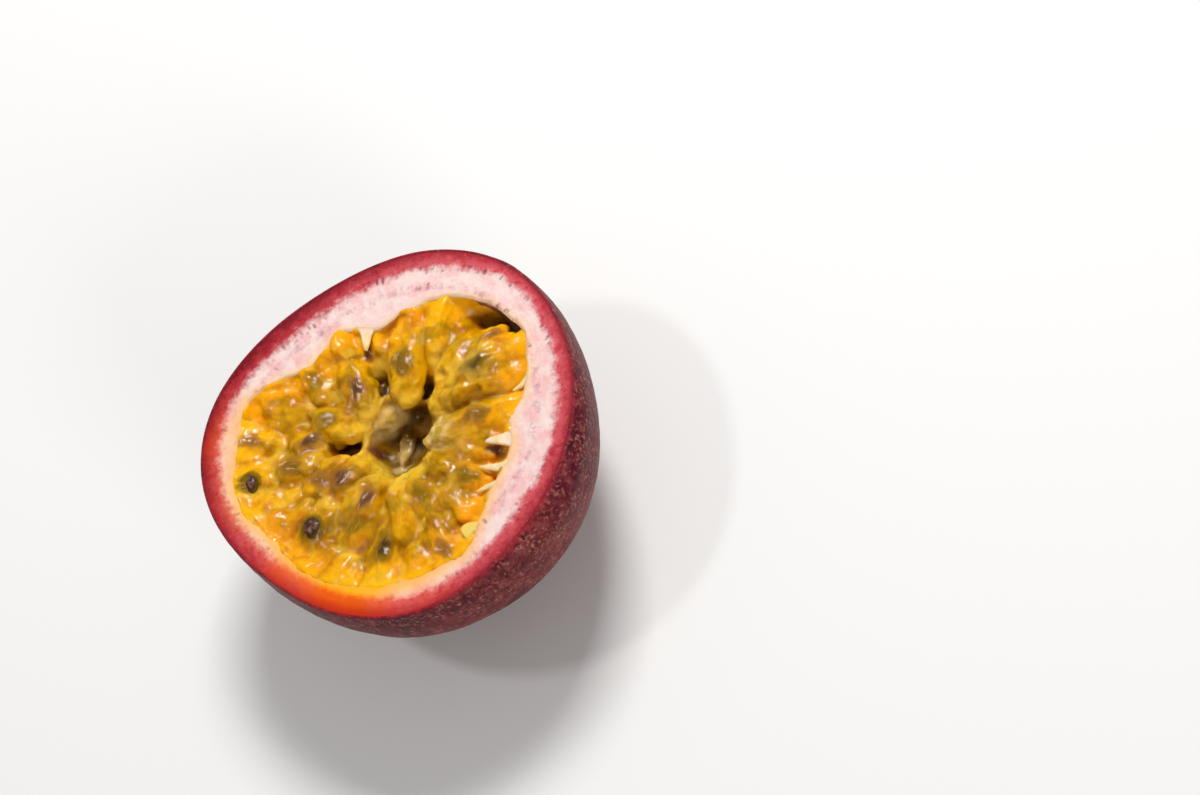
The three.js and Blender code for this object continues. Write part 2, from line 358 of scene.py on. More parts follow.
class Builder:
    """Collects lofts of closed rings into one mesh, with named values at the vertices."""

    def __init__(self):
        self.points, self.faces, self.values, self.count = [], [], [], 0

    def loft(self, rings, start, end, **values):
        """rings is rows x columns x 3. start and end are the points that close its two ends."""
        rows, cols = rings.shape[:2]
        ring = np.arange(cols)
        after = np.roll(ring, -1)
        quads = []
        for row in range(rows - 1):
            low, high = row * cols, (row + 1) * cols
            quads.append(np.stack([low + ring, low + after, high + after, high + ring], 1))
        first, last = rows * cols, rows * cols + 1
        fans = np.stack([np.full(cols, first), after, ring], 1)
        top = (rows - 1) * cols
        caps = np.stack([top + ring, top + after, np.full(cols, last)], 1)
        for block in (np.concatenate(quads), fans, caps):
            self.faces.extend((block + self.count).tolist())
        self.points.append(np.concatenate([rings.reshape(-1, 3), [start, end]]))
        total = rows * cols + 2
        row_values = {}
        for name, value in values.items():
            flat = np.broadcast_to(value, (rows, cols)).reshape(-1)
            row_values[name] = np.concatenate([flat, [flat[0], flat[-1]]])
        self.values.append((total, row_values))
        self.count += total
        return self

    def build(self, name):
        mesh = bpy.data.meshes.new(name)
        points = np.concatenate(self.points) - MIDDLE
        mesh.from_pydata(points.tolist(), [], self.faces)
        joined = {}
        for key in sorted({key for _, values in self.values for key in values}):
            columns = [values.get(key, np.zeros(total)) for total, values in self.values]
            joined[key] = np.concatenate(columns)
        return add_piece(name, mesh, joined)


def polar(radius, angle, depth):
    """A point from a radius, an angle and a depth below the cut, in millimetres and degrees."""
    turn = math.radians(angle)
    place = (radius * MM * math.cos(turn), radius * MM * math.sin(turn), CUT_Z - depth * MM)
    return np.array(place)


def ring_points(radius, angle, z):
    """Rows of points round +Z. radius and z are rows x columns, or broadcast to it."""
    radius, angle, z = np.broadcast_arrays(radius, angle, z)
    return np.stack([radius * np.cos(angle), radius * np.sin(angle), z], -1)


# ---- Material helpers ----


def linear(colour):
    """Linear colour from a display colour such as #ff8000."""
    parts = [int(colour[i : i + 2], 16) / 255 for i in (1, 3, 5)]
    return tuple(c / 12.92 if c <= 0.04045 else ((c + 0.055) / 1.055) ** 2.4 for c in parts) + (1,)


class Shading:
    """A material's node tree, with short ways to add what these materials use."""

    def __init__(self, name):
        self.material = bpy.data.materials.new(name)
        self.material.use_nodes = True
        self.tree = self.material.node_tree
        self.shader = self.tree.nodes["Principled BSDF"]
        self.place = self.add("ShaderNodeTexCoord").outputs["Object"]
        self.colour = None  # the base colour so far

    def add(self, kind, inputs=None, **settings):
        made = self.tree.nodes.new(kind)
        for key, value in settings.items():
            setattr(made, key, value)
        for key, value in (inputs or {}).items():
            self.put(made.inputs[key], value)
        return made

    def put(self, socket, value):
        """Gives an input a link, a display colour or a plain value."""
        if isinstance(value, bpy.types.NodeSocket):
            self.tree.links.new(value, socket)
        else:
            socket.default_value = linear(value) if isinstance(value, str) else value

    def set(self, **inputs):
        for key, value in inputs.items():
            self.put(self.shader.inputs[key.replace("_", " ")], value)

    def value(self, name):
        return self.add("ShaderNodeAttribute", attribute_name=name).outputs["Fac"]

    def texture(self, kind, size_mm, where, inputs):
        place = {"Vector": where or self.place, "Scale": 1 / (size_mm * MM)}
        return self.add(kind, place | inputs)

    def noise(self, size_mm, detail, rough, distortion=0, where=None):
        inputs = {"Detail": detail, "Roughness": rough, "Distortion": distortion}
        return self.texture("ShaderNodeTexNoise", size_mm, where, inputs).outputs["Fac"]

    def cells(self, size_mm, where=None):
        """Distance from the nearest of many scattered points."""
        return self.texture("ShaderNodeTexVoronoi", size_mm, where, {}).outputs["Distance"]

    def ramp(self, value, low, high, start=0, end=1):
        """Goes smoothly from start at low to end at high."""
        inputs = {"Value": value, 1: low, 2: high, 3: start, 4: end}
        made = self.add("ShaderNodeMapRange", inputs, interpolation_type="SMOOTHSTEP")
        return made.outputs["Result"]

    def mix(self, share, first, second):
        inputs = {0: share, 6: first, 7: second}
        return self.add("ShaderNodeMix", inputs, data_type="RGBA").outputs[2]

    def paint(self, share, colour):
        """Covers that share of the base colour so far with another colour."""
        self.colour = self.mix(share, self.colour, colour)

    def vector(self, operation, inputs):
        return self.add("ShaderNodeVectorMath", inputs, operation=operation).outputs[0]

    def math(self, operation, first, second):
        return self.add("ShaderNodeMath", {0: first, 1: second}, operation=operation).outputs[0]

    def times(self, first, second):
        return self.math("MULTIPLY", first, second)

    def plus(self, first, second):
        return self.math("ADD", first, second)

    def centred(self, value):
        """A value from 0 to 1, moved to lie round 0."""
        return self.math("SUBTRACT", value, 0.5)

    def scatter(self, weight, radius, scale_mm):
        self.set(Subsurface_Weight=weight, Subsurface_Radius=radius)
        self.set(Subsurface_Scale=scale_mm * MM)

    def bump(self, height, distance_mm, strength, below=None):
        inputs = {"Height": height, "Distance": distance_mm * MM, "Strength": strength}
        if below:
            inputs["Normal"] = below
        return self.add("ShaderNodeBump", inputs).outputs["Normal"]


# ---- Rind ----


def make_skin():
    """The thin outer peel, a closed bowl with its edge at the cut."""
    angle = full_turn(RIND_COLUMNS)
    outer = radius_at(RIM, angle)
    edge_radius = outer - roll_in(angle)

    row_turn = np.linspace(1, 0, SKIN_ROWS)[:, None] ** 1.15 * np.pi / 2
    share = CUT_Z / RIND_DEPTH * np.sin(row_turn)
    rolled = 1 - np.clip(RIND_DEPTH * share / ROLL_DROP, 0, 1)
    radius = outer * swell(share) - roll_in(angle) * rolled**ROLL_CURVE
    z = CUT_Z - RIND_DEPTH * share * np.ones_like(radius)
    side = ring_points(radius, angle, z)
    uneven = relief(side, SKIN_WAVES) + relief(side, SKIN_DIMPLES)
    fade = smoothstep(0, 3 * MM, z) * smoothstep(-0.6 * MM, 2 * MM, CUT_Z - z)
    side[..., :2] *= 1 + (uneven * fade / outer)[..., None]

    inward, down = np.array(SKIN_EDGE).T[..., None]
    edge = ring_points(edge_radius - inward * SKIN_THICK, angle, CUT_Z - down * MM)
    inner_share = np.linspace(0.02, 0.98, SKIN_INNER_ROWS)[:, None]
    inner_radius = (edge_radius - SKIN_THICK) * swell(inner_share)
    inner = ring_points(inner_radius, angle, CUT_Z - (RIND_DEPTH - SKIN_THICK) * inner_share)

    rings = np.concatenate([side[1:], edge, inner])
    at_edge = np.clip(1 - (CUT_Z - rings[..., 2]) / (3 * MM), 0, 1)
    return Builder().loft(rings, (0, 0, 0), (0, 0, SKIN_THICK), at_edge=at_edge).build("skin")


def make_flesh():
    """The red layer and the pith: the hidden outside, the cut face and the cavity wall."""
    angle = full_turn(RIND_COLUMNS)
    outer = radius_at(RIM, angle) - roll_in(angle) - SKIN_THICK + SEAM
    wander = relief(ring_points(cavity_radius(angle, 0), angle, 0), RAGGED_EDGE)
    cavity = cavity_radius(angle, 0) + wander
    depth = RIND_DEPTH - SKIN_THICK

    outside_share = np.linspace(0.97, 0.03, FLESH_OUTSIDE_ROWS)[:, None]
    outside = ring_points(outer * swell(outside_share), angle, CUT_Z - depth * outside_share)

    across = np.linspace(0, 1, FLESH_FACE_ROWS)[:, None]
    radius = outer + (cavity - outer) * across
    from_skin, from_pulp = outer - radius, radius - cavity
    red = from_skin / radius_at(RED, angle)
    sunk = PITH_SUNK * smoothstep(0.8, 1.4, red)
    rounded = LIP_ROUND[0] * (1 - smoothstep(0, LIP_ROUND[1], from_pulp)) ** 2
    flat = ring_points(radius, angle, CUT_Z)
    raised = relief(flat, PITH_SPONGE) + relief(flat, PITH_WAVES)
    raised *= smoothstep(0, 1.5 * MM, from_skin)
    face = ring_points(radius, angle, CUT_Z - SEAM - sunk - rounded + raised)

    wall_share = np.linspace(0.03, 0.985, FLESH_WALL_ROWS)[:, None]
    wall_radius = cavity_radius(angle, wall_share) + wander
    wall = ring_points(wall_radius, angle, CUT_Z - CAVITY_DEPTH * wall_share)
    wall[..., :2] *= 1 + (relief(wall, WALL_BUMPS) / cavity)[..., None]

    def rows(on_outside, on_face, on_wall):
        """The values at the points of the three parts."""
        pairs = ((on_outside, outside), (on_face, face), (on_wall, wall))
        return np.concatenate([np.broadcast_to(value, part.shape[:2]) for value, part in pairs])

    builder = Builder()
    builder.loft(
        np.concatenate([outside, face, wall]),
        (0, 0, CUT_Z - depth),
        (0, 0, FLOOR),
        from_skin=rows(0, from_skin, from_skin[-1]) / MM,
        from_pulp=rows(1, from_pulp, 0) / MM,
        # inside is the depth down the cavity wall, which the material darkens as painted shade.
        inside=rows(0, 0, CUT_Z - wall[..., 2]) / MM,
        red=rows(0, red, red[-1]),
        stain=stain_at(angle),
        ripe=radius_at(RIPE, angle),
        seep=radius_at(SEEP, angle),
    )
    return builder.build("flesh")


def make_pegs():
    builder = Builder()
    turn = full_turn(PEG_COLUMNS)
    share = np.linspace(0, 1, PEG_ROWS + 1)[:-1, None]
    for angle, tip_angle, tip_radius, width, depth, yellow in PEGS:
        wall = cavity_radius(math.radians(angle), 0) / MM
        root = polar(wall + PEG_ROOT, angle, depth)
        tip = polar(tip_radius, tip_angle, depth + PEG_DROOP)
        along = (tip - root) / np.linalg.norm(tip - root)
        side = np.cross((0, 0, 1), along)
        up = np.cross(along, side)
        taper = (1 - 0.55 * share) * (1 - share**5) ** 0.5
        flare = 0.7 * np.exp(-5 * share)
        reach = width * MM / 2 * (taper + flare)
        bend = PEG_BEND * np.sin(np.pi * share + angle)
        axis = root + share[..., None] * (tip - root) + bend[..., None] * side
        points = axis + (reach * np.cos(turn))[..., None] * side
        points = points + (PEG_FLATNESS * reach * np.sin(turn))[..., None] * up
        points += relief(points, (*PEG_LUMPS, angle))[..., None] * (side + up)
        points[..., 2] = np.minimum(points[..., 2], CUT_Z - PEG_SUNK)
        builder.loft(points, root, tip, tip=share, yellow=yellow)
    return builder.build("pegs")


# ---- Pulp ----


def wobble(points, key):
    """A smooth shift of each point by about WOBBLE, different for each key."""
    x, y, z = np.moveaxis(points / MM, -1, 0)
    shift = [
        np.sin(1.3 * y + 0.7 * z + key) + np.sin(2.1 * x - 1.7 * y + 2 * key),
        np.sin(1.1 * z + 0.9 * x + 3 * key) + np.sin(1.9 * y + 1.6 * z + key),
        np.sin(1.2 * x - 0.8 * y + 5 * key) + np.sin(2.3 * z + 1.4 * x + key),
    ]
    return WOBBLE * np.stack(shift, -1) / 2


class Aril:
    """A sac with a seed in it, running from its base to its tip."""

    def __init__(self, base, tip, width, look, seed_at, draw):
        self.base, self.tip, self.width, self.look = base, tip, width, look
        self.length = np.linalg.norm(tip - base)
        self.along = (tip - base) / self.length
        side = np.cross((0, 0, 1), self.along)
        self.side = side / max(np.linalg.norm(side), 1e-9)
        self.up = np.cross(self.along, self.side)
        self.flat = draw.uniform(0.86, 1.0)  # height as a share of width
        self.bend = draw.uniform(-0.8, 0.8) * MM
        self.lobe = draw.uniform(0.03, 0.08)  # height of three lobes, as a share of half the width
        self.lobe_turn = draw.uniform(0, 2 * math.pi)
        self.tone = draw.random()
        self.seed_at = seed_at
        self.seed_turn = draw.uniform(-0.35, 0.35)
        self.key = draw.uniform(0, 50)  # of its wobble

    def local(self, points):
        """Distances along, across and above the base, with the sac's bend taken out."""
        offset = points - self.base + wobble(points, self.key)
        forward = offset @ self.along
        share = np.clip(forward / self.length, 0, 1)
        sideways = offset @ self.side - self.bend * np.sin(np.pi * share)
        return forward, sideways, offset @ self.up

    def distance(self, points):
        """Roughly how far outside the sac each point is, less than 0 inside."""
        forward, sideways, upward = self.local(points)
        upward = upward / self.flat
        share = forward / self.length
        inside = np.clip(share, 0.001, 0.999)
        bulge = 1 - np.abs(2 * inside**ARIL_SKEW - 1) ** ARIL_FULLNESS
        turn = np.arctan2(upward, sideways)
        uneven = 1 + self.lobe * np.cos(3 * turn + self.lobe_turn + 2 * inside)
        reach = np.sqrt(np.maximum(bulge, 0)) * self.width / 2 * uneven
        beyond = (np.maximum(-share, 0) + np.maximum(share - 1, 0)) * self.length
        return np.sqrt(sideways**2 + upward**2 + beyond**2) - reach

    def seed_shade(self, points):
        """How strongly the seed shows at each point of the surface, 0 to 1."""
        strength, _, sharp, size = SEED_LOOKS[self.look]
        forward, sideways, upward = self.local(points)
        forward = forward - self.seed_at * self.length
        cos, sin = math.cos(self.seed_turn), math.sin(self.seed_turn)
        a, b = forward * cos + sideways * sin, sideways * cos - forward * sin
        level = np.hypot(a / SEED[0], b / SEED[1]) / size
        soft, crisp = np.exp(-((level / 1.05) ** 2)), 1 - smoothstep(0.45, 1.15, level)
        above = smoothstep(-0.2 * self.width, 0.25 * self.width, upward)
        return strength * (soft + (crisp - soft) * sharp) * above


def plan_arils():
    draw = random.Random(11)
    arils = []
    for base_angle, base_radius, tip_angle, tip_radius, width, depth, look, seed_at in ARILS:
        base = polar(base_radius, base_angle, depth + ARIL_DROOP)
        tip = polar(tip_radius, tip_angle, depth)
        arils.append(Aril(base, tip, width * MM, look, seed_at, draw))
    for count, first, base_radius, tip_radius, width, base_depth, tip_depth in LOWER_RINGS:
        for i in range(count):
            angle = first + 360 * i / count + draw.uniform(-5, 5)
            base = polar(base_radius, angle, base_depth + draw.uniform(-0.5, 0.5))
            tip_angle = angle + draw.uniform(-14, 14)
            tip = polar(tip_radius + draw.uniform(-1, 1), tip_angle, tip_depth)
            look = draw.choice(["clear", "hazy", "dark", "violet"])
            wide = (width + draw.uniform(-0.4, 0.5)) * MM
            arils.append(Aril(base, tip, wide, look, draw.uniform(0.45, 0.6), draw))
    return arils


def juice_depth(x, y):
    """How far below the cut the juice and loose pulp stand."""
    radius, angle = np.hypot(x, y), np.arctan2(y, x)
    share = (1 + np.cos(angle - math.radians(JUICE["high_side"]))) / 2
    depth = JUICE["low"] + (JUICE["high"] - JUICE["low"]) * share
    depth = depth + relief(np.stack([x, y, 0 * x], -1), JUICE_LUMPS)
    from_wall = np.maximum(cavity_radius(angle, 0) - radius, 0)
    depth = depth - MENISCUS["height"] * np.exp(-from_wall / MENISCUS["reach"])
    depth = np.maximum(depth, JUICE["top"])
    for dip_angle, dip_radius, size, more in JUICE_DIPS:
        place = polar(dip_radius, dip_angle, 0)
        away = np.hypot(x - place[0], y - place[1]) / (size * MM)
        depth = depth + more * MM * np.exp(-(away**2))
    open_share = 1 - smoothstep(HOLLOW["floor"], HOLLOW["brim"], radius)
    return depth + (HOLLOW["depth"] - depth) * open_share


def cavity_distance(points):
    """Roughly how far outside the room in the rind each point is."""
    x, y, z = np.moveaxis(points, -1, 0)
    share = np.clip((CUT_Z - z) / CAVITY_DEPTH, 0, 0.999)
    return np.hypot(x, y) - cavity_radius(np.arctan2(y, x), share)


def join_pinches(values, pitch):
    """Fills each square of the grid whose corners alternate, where two sheets would touch."""
    for _ in range(8):  # one filled square can pinch the next
        pinched = 0
        for a, b in ((0, 1), (1, 2), (2, 0)):
            inside = values < 0
            beside, above = np.roll(inside, -1, a), np.roll(inside, -1, b)
            across = np.roll(beside, -1, b)
            bad = (inside == across) & (beside == above) & (inside != beside)
            pinched += bad.sum()
            for i, j in ((0, 0), (1, 0), (0, 1), (1, 1)):
                corner = np.roll(bad, (i, j), (a, b))
                values[corner & ~inside] = -0.05 * pitch
        if not pinched:
            break


def surface_net(values, origin, pitch):
    """Points and quads of the surface where a grid of values passes zero."""
    inside = values < 0
    shape = np.array(values.shape) - 1
    unit = np.eye(3, dtype=int)
    corners = [(i, j, k) for i in (0, 1) for j in (0, 1) for k in (0, 1)]
    total = sum(
        inside[i : i + shape[0], j : j + shape[1], k : k + shape[2]].astype(np.int8)
        for i, j, k in corners
    )
    cells = np.argwhere((total > 0) & (total < 8))
    index = np.full(shape, -1)
    index[tuple(cells.T)] = np.arange(len(cells))
    middle, count = np.zeros((len(cells), 3)), np.zeros((len(cells), 1))
    quads = []
    for axis in range(3):
        step = unit[axis]
        for corner in corners:
            if corner[axis]:
                continue
            near = values[tuple((cells + corner).T)]
            far = values[tuple((cells + corner + step).T)]
            crossing = (near < 0) != (far < 0)
            share = np.where(crossing, near / np.where(crossing, near - far, 1), 0)[:, None]
            middle += np.where(crossing[:, None], corner + share * step, 0)
            count += crossing[:, None]
        starts = np.delete(np.arange(3), axis)
        low = np.take(inside, range(shape[axis]), axis)
        high = np.take(inside, range(1, shape[axis] + 1), axis)
        edges = np.argwhere(low != high)
        edges = edges[np.all((edges[:, starts] > 0) & (edges[:, starts] < shape[starts]), 1)]
        a, b = unit[(axis + 1) % 3], unit[(axis + 2) % 3]
        quad = np.stack([index[tuple((edges - back).T)] for back in (0 * a, a, a + b, b)], 1)
        outward = low[tuple(edges.T)]
        quads.append(np.where(outward[:, None], quad, quad[:, ::-1]))
    return origin + pitch * (cells + middle / count), np.concatenate(quads)


def crowding(distance):
    """What a surface counts for at a distance. The sum of these blends the surfaces."""
    return np.exp(-np.clip(distance, -FIELD_LIMIT, FIELD_LIMIT) / PULP_BLEND)


def grid_of(lines):
    return np.stack(np.meshgrid(*lines, indexing="ij"), -1)


def pulp_surface(arils):
    """The wet top of the pulp as points and quads, down to below the hollow."""
    low, high = np.array(PULP_GRID) * MM + (0, 0, CUT_Z)
    shape = np.ceil((high - low) / PULP_PITCH).astype(int)
    lines = [low[i] + PULP_PITCH * np.arange(shape[i]) for i in range(3)]
    top = CUT_Z - juice_depth(*np.meshgrid(lines[0], lines[1], indexing="ij"))
    crowd = crowding(lines[2] - top[..., None])
    for aril in arils:
        margin = aril.width / 2 + 1.5 * MM
        first = np.minimum(aril.base, aril.tip) - margin
        last = np.maximum(aril.base, aril.tip) + margin
        box = [slice(*np.searchsorted(lines[i], (first[i], last[i]))) for i in range(3)]
        points = grid_of([lines[i][box[i]] for i in range(3)])
        crowd[tuple(box)] += crowding(aril.distance(points))
    field = -PULP_BLEND * np.log(crowd)
    field = np.maximum(field, cavity_distance(grid_of(lines)) - PULP_OVERLAP)
    field[:, :, 0] = np.abs(field[:, :, 0]) + PULP_PITCH  # closes the underside
    join_pinches(field, PULP_PITCH)
    return surface_net(field, low, PULP_PITCH)


def seed_shading(points, arils, counts):
    """How dark the seeds make each point, and how violet rather than olive they are there."""
    dark, violet = np.zeros(len(points)), np.zeros(len(points))
    for aril, count in zip(arils, counts):
        near = smoothstep(0.1, 0.6, count) * aril.seed_shade(points)
        violet = np.where(near > dark, SEED_LOOKS[aril.look][1], violet)
        dark = np.maximum(dark, near)
    for angle, radius, long, wide, _ in BARE_SEEDS:
        away = points - polar(radius, angle, 0)
        level = np.hypot(*away[:, :2].T) / ((long + wide) / 2 * MM)
        dark = np.maximum(dark, BARE_HALO * (1 - smoothstep(0.9, 1.6, level)))
    return dark, violet


def places_in_sacs(points, arils, nearest):
    """Each point's place in its own sac, and how near it is to the sac's top, 0 to 1."""
    local, crest = np.zeros_like(points), np.zeros(len(points))
    for i, aril in enumerate(arils):
        mine = nearest == i
        along, across, above = aril.local(points[mine])
        local[mine] = np.stack([along + aril.key, across, above], 1)
        crest[mine] = above / (0.5 * aril.width)
    return local, np.clip(crest, 0, 1)


def make_pulp(arils):
    """The wet top: placed arils, rings of arils below them, and the juice between."""
    points, quads = pulp_surface(arils)
    distances = np.stack([aril.distance(points) for aril in arils])
    order = np.argsort(distances, 0)
    first, second = np.take_along_axis(distances, order[:2], 0)
    counts = np.exp(-(distances - first) / LOOK_BLEND)  # how much each sac counts at each point
    counts /= counts.sum(0)
    along = np.stack([np.clip(aril.local(points)[0] / aril.length, 0, 1) for aril in arils])
    tone, pale = np.array([(aril.tone, aril.look == "pale") for aril in arils]).T[..., None]
    dark, violet = seed_shading(points, arils, counts)
    local, crest = places_in_sacs(points, arils, order[0])
    crease = np.exp(-(second - first) / CREASE)
    folds = 0.25 * SAC_FOLDS[1] * MM - np.abs(relief(local * (0.4, 1, 1), SAC_FOLDS))
    raised = relief(points, PULP_LUMPS) + folds * (1 - crease)

    mesh = bpy.data.meshes.new("pulp")
    mesh.from_pydata((points - MIDDLE).tolist(), [], quads.tolist())
    normals = np.zeros(len(points) * 3)
    mesh.vertices.foreach_get("normal", normals)
    moved = points - MIDDLE + raised[:, None] * normals.reshape(-1, 3)
    mesh.vertices.foreach_set("co", moved.reshape(-1))
    values = {
        "along": (counts * along).sum(0),
        "tone": (counts * tone).sum(0),
        "seed": dark,
        "violet": violet,
        "pale": (pale * counts * smoothstep(0.35, 0.9, along)).max(0),
        "crease": crease,
        "crest": crest,
        # deep is the depth below the cut, which the material darkens as painted shade.
        "deep": np.clip((CUT_Z - points[:, 2]) / (12 * MM), 0, 1),
        "wall": np.clip(-cavity_distance(points) / (8 * MM), 0, 1),
    }
    piece = add_piece("pulp_top", mesh, values)
    layer = mesh.attributes.new("grain", "FLOAT_VECTOR", "POINT")
    layer.data.foreach_set("vector", local.astype(np.float32).reshape(-1))
    return piece


def make_core():
    """The pulp below the wet top, filling the cavity."""
    angle = full_turn(CORE_COLUMNS)
    cavity = radius_at(CAVITY, angle) + CORE["reach"]
    share = np.linspace(0.97, CORE["top"] / CAVITY_DEPTH, CORE_ROWS)[:, None]
    side = ring_points(cavity * swell(share), angle, CUT_Z - CAVITY_DEPTH * share)
    bottom, top = (0, 0, FLOOR + CORE["lift"]), (0, 0, CUT_Z - CORE["top"])
    return Builder().loft(side, bottom, top).build("pulp_core")


def make_seeds(pulp):
    """The bare seeds, sunk in the surface of the pulp."""
    builder = Builder()
    surface = np.array([vertex.co for vertex in pulp.data.vertices]) + MIDDLE
    turn = full_turn(SEED_COLUMNS)
    slope = np.linspace(0, np.pi, SEED_ROWS + 2)[1:-1, None]
    for angle, radius, long, wide, axis in BARE_SEEDS:
        middle = polar(radius, angle, 0)
        near = np.hypot(*(surface - middle)[:, :2].T) < wide * MM
        near &= surface[:, 2] > CUT_Z - 5 * MM
        middle[2] = surface[near, 2].mean() - SEED_THICK + BARE_SHOWS
        a = long * MM * np.cos(slope) + 0 * turn
        b = wide * MM * np.sin(slope) * np.cos(turn) * (1 - 0.12 * np.cos(slope))
        c = SEED_THICK * np.sin(slope) * np.sin(turn)
        offset = np.stack([a, b, c], -1)
        offset *= 1 + 0.06 * fbm(offset, 1.5 * MM, 3, angle)[..., None]
        heading = math.radians(angle + axis)
        forward = np.array([math.cos(heading), math.sin(heading), 0])
        sideways = np.array([-forward[1], forward[0], 0])
        offset = offset @ np.stack([forward, sideways, (0, 0, 1)])
        ends = [middle + forward * long * MM, middle - forward * long * MM]
        builder.loft(middle + offset, *ends, rim=np.sin(slope) * np.sin(turn))
    return builder.build("seeds")


# ---- Materials ----


def skin_material():
    s = Shading("skin")
    patches = s.noise(13, 3, 0.6)
    mottling = s.noise(2.2, 5, 0.7)
    s.colour = s.mix(s.ramp(patches, 0.38, 0.62), "#5a1222", "#6e2024")
    s.paint(s.ramp(mottling, 0.44, 0.68, 0, 0.7), "#884440")
    s.paint(s.ramp(mottling, 0.48, 0.3, 0, 0.8), "#360c18")
    clumps = s.ramp(s.noise(3.2, 4, 0.65), 0.38, 0.56)
    fine = s.times(s.ramp(s.noise(0.55, 3, 0.6), 0.5, 0.64), clumps)
    s.paint(s.times(fine, 0.6), "#a87668")
    s.paint(s.ramp(s.noise(0.9, 4, 0.7), 0.47, 0.36, 0, 0.75), "#340e14")
    s.paint(s.ramp(s.cells(2.4), 0.07, 0.17, 0.6, 0), "#b07c64")
    bleed = s.times(s.centred(mottling), 0.5)
    bleed = s.ramp(s.plus(s.value("at_edge"), bleed), 0.88, 1.04, 0, 0.7)
    s.paint(bleed, "#961a2a")
    s.set(Base_Color=s.colour, Specular_IOR_Level=0.12)
    s.set(Roughness=s.ramp(mottling, 0.3, 0.7, 0.4, 0.55))
    low = s.bump(s.noise(1, 4, 0.65), 0.22, 0.7)
    s.set(Normal=s.bump(fine, 0.05, 0.6, low))
    return s.material


def flesh_material():
    s = Shading("flesh")
    from_skin, from_pulp, red = map(s.value, ("from_skin", "from_pulp", "red"))
    stain, ripe = map(s.value, ("stain", "ripe"))
    fuzz = s.centred(s.noise(0.8, 4, 0.75))
    broad = s.centred(s.noise(5, 2, 0.5))
    teeth = s.centred(s.noise(1.7, 3, 0.6))
    ragged = red
    for part, share in ((fuzz, 0.8), (broad, 0.5), (teeth, 0.8)):
        ragged = s.plus(ragged, s.times(part, share))

    outer = s.mix(ripe, "#c83c48", "#6c020c")
    inner = s.mix(ripe, "#e66a72", "#b22832")
    band = s.mix(s.ramp(ragged, 0, 0.75), outer, inner)
    band = s.mix(s.ramp(from_skin, 0.5, 0.1, 0, 0.4), band, "#800e1c")
    blotches = s.ramp(s.noise(1.1, 4, 0.7), 0.5, 0.64, 0, 0.75)
    band = s.mix(blotches, band, s.mix(ripe, "#ce223e", "#8c0a22"))
    flecks = s.ramp(s.noise(0.7, 4, 0.75), 0.56, 0.7, 0, 0.45)
    band = s.mix(flecks, band, s.mix(ripe, "#ee8084", "#be3e48"))
    pink = s.ramp(s.noise(2.4, 4, 0.65), 0.4, 0.66)
    pith = s.mix(pink, "#f0d6d0", "#eebab8")
    pith = s.mix(s.ramp(s.noise(3.2, 3, 0.6), 0.5, 0.75, 0, 0.5), pith, "#f4e2d6")
    s.colour = s.mix(s.ramp(ragged, 0.7, 1.35), band, pith)
    near = s.plus(from_pulp, s.times(broad, 1.6))
    s.paint(s.ramp(near, 1.7, 0.1, 0, 0.65), "#f2d09c")
    s.paint(s.times(s.ramp(near, 3.4, -0.2, 0, 1.1), s.value("seep")), "#fcba54")

    outward = s.vector("NORMALIZE", {0: s.vector("MULTIPLY", {0: s.place, 1: (1, 1, 0)})})
    reach = s.math("SUBTRACT", RIM[0], s.times(from_skin, 0.5 * MM))
    dashes = s.vector("SCALE", {0: outward, "Scale": reach})
    dots = s.ramp(s.cells(0.95, where=dashes), 0.18, 0.48, 1, 0)
    dots = s.times(dots, s.ramp(s.noise(0.8, 3, 0.7), 0.32, 0.5))
    ring = s.times(s.ramp(red, 0.75, 0.95), s.ramp(red, 1.25, 1.5, 1, 0))
    middle = s.times(s.ramp(from_skin, 4.9, 5.5), s.ramp(from_skin, 6.2, 6.9, 1, 0))
    ring = s.math("MAXIMUM", ring, middle)
    streak = s.times(middle, s.ramp(s.noise(1.9, 4, 0.7), 0.46, 0.62, 0, 0.55))
    s.paint(streak, "#ce989c")
    ring = s.times(ring, s.ramp(s.noise(2.4, 3, 0.6), 0.37, 0.48))
    ring = s.times(ring, s.ramp(s.noise(7, 2, 0.5), 0.42, 0.58, 0.4, 1))
    dot = s.mix(s.ramp(red, 1.3, 1.5), "#823042", "#a67078")
    s.paint(s.times(s.times(dots, ring), 0.8), dot)

    uneven = s.plus(s.times(broad, 1.2), s.times(fuzz, 0.5))
    wet = s.times(stain, s.plus(1.1, uneven))
    juice = s.mix(s.ramp(from_skin, 0.2, 2.4), "#c42c00", "#ec5c00")
    thinned = s.plus(from_skin, s.times(fuzz, 1.6))
    juice = s.mix(s.ramp(thinned, 2.4, 4.0), juice, "#ffb018")
    s.paint(s.ramp(wet, 0, 0.95), juice)
    # Painted shade: the cavity wall turns dark brown the deeper it lies below the cut.
    s.paint(s.ramp(s.value("inside"), 0.6, 2.4, 0, 0.85), "#703a2c")
    s.set(Base_Color=s.colour, Roughness=0.5, Specular_IOR_Level=0.12)
    s.scatter(0.25, (1, 0.45, 0.3), 0.8)
    s.set(Normal=s.bump(s.noise(0.5, 4, 0.65), 0.12, 0.6))
    return s.material


def peg_material():
    s = Shading("peg")
    s.colour = s.mix(s.value("tip"), "#f2d4c2", "#fada8c")
    s.paint(s.ramp(s.noise(1.2, 3, 0.6), 0.45, 0.7), "#f8e4c8")
    s.paint(s.times(s.value("yellow"), 0.72), "#ecca1e")
    s.set(Base_Color=s.colour, Roughness=0.3, Specular_IOR_Level=0.35)
    s.scatter(0.4, (1, 0.7, 0.35), 0.9)
    s.set(Coat_Weight=0.3, Coat_Roughness=0.15, Coat_IOR=1.35)
    s.set(Normal=s.bump(s.noise(0.6, 3, 0.6), 0.06, 0.4))
    return s.material


